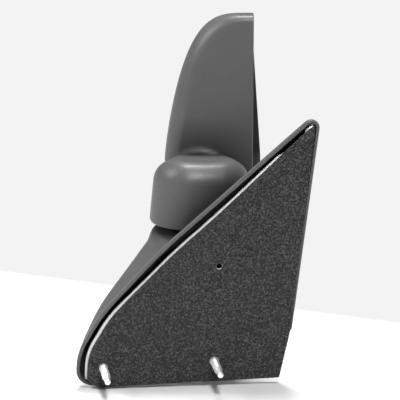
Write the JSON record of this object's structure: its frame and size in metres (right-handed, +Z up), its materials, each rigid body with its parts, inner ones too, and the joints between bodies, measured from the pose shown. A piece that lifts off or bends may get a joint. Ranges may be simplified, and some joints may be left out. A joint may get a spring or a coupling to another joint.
{
  "type": "car side mirror",
  "caption": "Hand-adjusted right-hand door mirror: triangular base with foam gasket and studs, folding head on a detent pivot, glass that pans and tilts on a ball.",
  "frame": {"origin": "midway between the two mounting studs, on the gasket's door face", "axes": "+X to the rear of the car, the way the glass faces; +Y away from the door; +Z up"},
  "size_m": [0.183, 0.2931, 0.2578],
  "materials": {
    "foam": "closed-cell foam with a salt-and-pepper speckle",
    "cast_metal": "bright cast alloy, lightly satin",
    "zinc_steel": "white zinc plate",
    "steel": "plain turned steel",
    "polished_steel": "polished steel",
    "spring_steel": "oiled spring wire",
    "rubber": "matt black rubber",
    "acetal": "natural white acetal",
    "grained_plastic": "fine-grained black plastic, matt",
    "black_nylon": "smooth black nylon",
    "adhesive_foam": "white double-sided foam sheet",
    "mirror_glass": "silvered glass"
  },
  "bodies": {
    "base": {"foam_gasket": "foam", "base_bracket": "cast_metal", "mounting_studs": "zinc_steel", "sail_cover": "grained_plastic", "cover_screws": "zinc_steel", "pivot_post": "steel", "detent_ring": "steel", "detent_balls": "polished_steel", "knuckle_seal": "rubber", "thrust_washer": "acetal", "fold_spring": "spring_steel", "spring_retainer": "steel", "retaining_clip": "spring_steel"},
    "head": {"pivot_arm": "cast_metal", "pivot_bush": "acetal", "index_ring": "steel", "knuckle_cover": "grained_plastic", "head_shell": "grained_plastic", "shell_screws": "zinc_steel", "adjuster_base": "black_nylon", "adjuster_screws": "zinc_steel", "ball_stud": "polished_steel", "ball_stud_nut": "zinc_steel"},
    "gimbal": {"gimbal_ring": "acetal", "pan_pins": "polished_steel"},
    "glass": {"tilt_pins": "polished_steel", "glass_holder": "black_nylon", "ball_socket": "acetal", "socket_spring": "spring_steel", "adhesive_pad": "adhesive_foam", "mirror_glass": "mirror_glass"}
  },
  "joints": [
    {"name": "head_fold", "type": "hinge", "parent": "base", "child": "head", "pos_m": [0.0395, 0.055, 0.1], "axis": [0, 0, 1], "range_deg": [-70, 60]},
    {"name": "glass_pan", "type": "hinge", "parent": "head", "child": "gimbal", "pos_m": [0.07671, 0.1819, 0.146], "axis": [0, 0, 1], "range_deg": [-8, 8]},
    {"name": "glass_tilt", "type": "hinge", "parent": "gimbal", "child": "glass", "pos_m": [0.07671, 0.1819, 0.146], "axis": [0.2079, 0.9781, 0], "range_deg": [-7, 7]}
  ]
}
